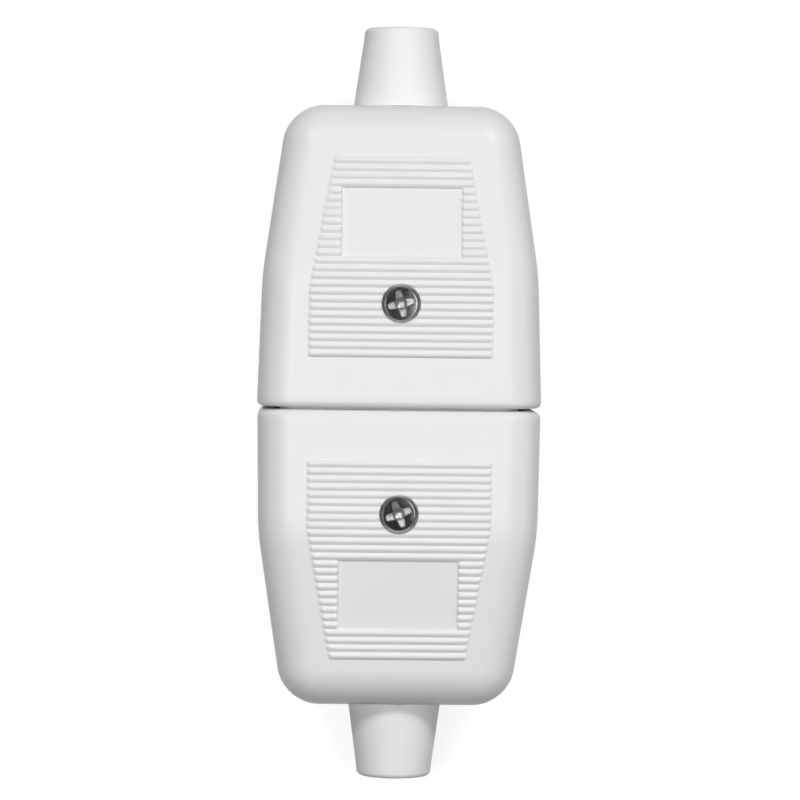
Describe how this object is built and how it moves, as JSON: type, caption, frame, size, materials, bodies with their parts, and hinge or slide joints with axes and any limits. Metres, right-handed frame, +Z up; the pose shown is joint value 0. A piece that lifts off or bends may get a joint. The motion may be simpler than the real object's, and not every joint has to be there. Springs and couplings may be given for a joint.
{
  "type": "inline socket connector",
  "caption": "Two-half inline mains connector for a three-core cord: a pin half and a socket half that push together, each with a ribbed grip, a cover screw and a cord guard.",
  "frame": {"origin": "under the middle of the whole length and width, on the surface that the plain back lies on", "axes": "+X across the width, +Y along the length towards the appliance half, +Z up out of the ribbed face"},
  "size_m": [0.0394, 0.1052, 0.0283],
  "materials": {
    "housing": "satin white moulded thermoplastic",
    "cord_guard": "satin white flexible moulding",
    "insulator": "pale moulded insulating block",
    "clamp": "moulded white bar",
    "brass": "bright stamped and turned brass",
    "screw_steel": "zinc plated steel",
    "terminal_screw": "zinc plated steel",
    "clamp_screw": "zinc plated steel"
  },
  "bodies": {
    "socket_half": {"socket_cover": "housing", "socket_base": "housing", "socket_cord_guard": "cord_guard", "socket_cover_screw": "screw_steel", "socket_cover_nut": "brass", "socket_contact_block": "insulator", "socket_live_contact": "brass", "socket_neutral_contact": "brass", "socket_earth_contact": "brass", "socket_live_terminal_screw": "terminal_screw", "socket_neutral_terminal_screw": "terminal_screw", "socket_earth_terminal_screw": "terminal_screw", "socket_clamp_bar": "clamp", "socket_clamp_screw_left": "clamp_screw", "socket_clamp_screw_right": "clamp_screw"},
    "plug_half": {"plug_cover": "housing", "plug_base": "housing", "plug_cord_guard": "cord_guard", "plug_cover_screw": "screw_steel", "plug_cover_nut": "brass", "plug_pin_block": "insulator", "plug_live_pin": "brass", "plug_neutral_pin": "brass", "plug_earth_pin": "brass", "plug_live_terminal_screw": "terminal_screw", "plug_neutral_terminal_screw": "terminal_screw", "plug_earth_terminal_screw": "terminal_screw", "plug_clamp_bar": "clamp", "plug_clamp_screw_left": "clamp_screw", "plug_clamp_screw_right": "clamp_screw"}
  },
  "joints": [
    {"name": "unplug", "type": "slide", "parent": "socket_half", "child": "plug_half", "axis": [0, 1, 0], "range_m": [0, 0.015]}
  ]
}
